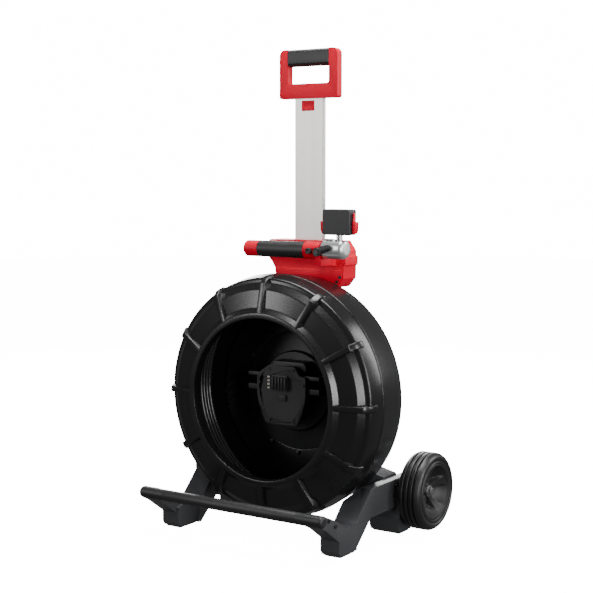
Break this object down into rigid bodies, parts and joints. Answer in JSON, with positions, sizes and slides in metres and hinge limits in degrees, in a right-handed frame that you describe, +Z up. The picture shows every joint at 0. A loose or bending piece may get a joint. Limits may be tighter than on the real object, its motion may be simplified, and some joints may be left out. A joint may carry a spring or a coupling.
{
  "type": "drain snake machine",
  "caption": "Wheeled reel cart with a large turning drum for a push cable, a dock inside the drum, a telescoping handle, a lift grip and a tilting ball mount.",
  "frame": {"origin": "on the ground under the middle of the cart, at the centre of its outline seen from above", "axes": "+Z up, +X to the right as seen from the front, where the drum opens, and +Y to the back, where the wheels are"},
  "size_m": [0.686, 0.508, 1.197],
  "materials": {
    "drum_plastic": "semi-gloss moulded black plastic",
    "base_plastic": "charcoal textured plastic",
    "red_plastic": "vivid red moulded plastic",
    "black_plastic": "matt black plastic",
    "box_plastic": "dark grey fine texture",
    "aluminium": "brushed and clear anodised",
    "cast_metal": "polished casting",
    "steel": "bright zinc",
    "black_steel": "black powder coat",
    "rubber": "ribbed black rubber",
    "tyre": "solid rubber tyre",
    "cable_jacket": "satin cable jacket",
    "contacts": "plated contacts",
    "nylon": "nylon"
  },
  "bodies": {
    "frame": {"base_right": "base_plastic", "base_left": "base_plastic", "foot_pads": "rubber", "cross_member": "base_plastic", "base_screws": "black_steel", "front_bar": "black_steel", "bar_sleeve": "rubber", "bar_end_right": "black_plastic", "bar_end_left": "black_plastic", "mast": "black_steel", "spindle": "steel", "spindle_cap": "steel", "spindle_bolts": "steel", "column_bush": "nylon", "housing_front": "red_plastic", "housing_rear": "red_plastic", "housing_screws": "black_steel", "lift_grip_core": "steel", "lift_grip_rubber": "rubber", "ball_socket": "cast_metal", "lever_pin": "black_steel", "axle": "steel", "axle_washers": "steel", "axle_nuts": "steel"},
    "drum": {"drum_front": "drum_plastic", "drum_back": "drum_plastic", "hub": "black_plastic", "hub_bolts": "black_steel", "drum_bearings": "steel", "dock_bracket": "black_plastic", "dock_plate": "black_plastic", "terminal_block": "black_plastic", "terminal_contacts": "contacts", "dock_screws": "black_steel", "push_cable": "cable_jacket", "cable_anchor": "black_plastic", "cable_head": "steel"},
    "dock_release": {"dock_latch": "black_plastic"},
    "wheel_right": {"tyre_right": "tyre", "wheel_hub_right": "drum_plastic", "wheel_bush_right": "nylon"},
    "wheel_left": {"tyre_left": "tyre", "wheel_hub_left": "drum_plastic", "wheel_bush_left": "nylon"},
    "handle": {"column": "aluminium", "column_plug": "nylon", "handle_frame": "red_plastic", "handle_grip": "rubber", "handle_screws": "black_steel"},
    "handle_latch": {"latch_button": "red_plastic"},
    "lock": {"lock_knob": "black_plastic"},
    "lever": {"clamp_lever": "black_plastic"},
    "mount_swivel": {"ball_seat": "nylon"},
    "mount_head": {"mount_ball": "steel", "dock_box": "box_plastic", "dock_cover": "box_plastic"},
    "latch_right": {"box_latch_right": "red_plastic"},
    "latch_left": {"box_latch_left": "red_plastic"}
  },
  "joints": [
    {"name": "drum_spin", "type": "hinge", "parent": "frame", "child": "drum", "pos_m": [0, 0, 0.34], "axis": [0, 1, 0], "continuous": true},
    {"name": "dock_release_press", "type": "slide", "parent": "drum", "child": "dock_release", "axis": [0, 1, 0], "range_m": [0, 0.003], "stiffness_N_per_m": 600, "springref_m": -0.001},
    {"name": "wheel_right_roll", "type": "hinge", "parent": "frame", "child": "wheel_right", "pos_m": [0.312, 0.158, 0.103], "axis": [1, 0, 0], "continuous": true},
    {"name": "wheel_left_roll", "type": "hinge", "parent": "frame", "child": "wheel_left", "pos_m": [-0.312, 0.158, 0.103], "axis": [1, 0, 0], "continuous": true},
    {"name": "handle_slide", "type": "slide", "parent": "frame", "child": "handle", "axis": [0, 0, 1], "range_m": [-0.32, 0]},
    {"name": "handle_latch_press", "type": "slide", "parent": "handle", "child": "handle_latch", "axis": [0, 1, 0], "range_m": [0, 0.004], "stiffness_N_per_m": 500, "springref_m": -0.002},
    {"name": "lock_knob_press", "type": "slide", "parent": "frame", "child": "lock", "axis": [0, 1, 0], "range_m": [0, 0.0025], "stiffness_N_per_m": 500, "springref_m": -0.002},
    {"name": "lever_turn", "type": "hinge", "parent": "frame", "child": "lever", "pos_m": [0.094, -0.004, 0.696], "axis": [0, 1, 0], "range_deg": [0, 75]},
    {"name": "mount_swivel_turn", "type": "hinge", "parent": "frame", "child": "mount_swivel", "pos_m": [0.14, 0.026, 0.706], "axis": [0, 0, 1], "range_deg": [-180, 180]},
    {"name": "mount_tilt", "type": "hinge", "parent": "mount_swivel", "child": "mount_head", "pos_m": [0.14, 0.026, 0.706], "axis": [1, 0, 0], "range_deg": [-20, 25]},
    {"name": "latch_right_press", "type": "slide", "parent": "mount_head", "child": "latch_right", "axis": [-1, 0, 0], "range_m": [0, 0.0025], "stiffness_N_per_m": 500, "springref_m": -0.002},
    {"name": "latch_left_press", "type": "slide", "parent": "mount_head", "child": "latch_left", "axis": [1, 0, 0], "range_m": [0, 0.0025], "stiffness_N_per_m": 500, "springref_m": -0.002}
  ]
}
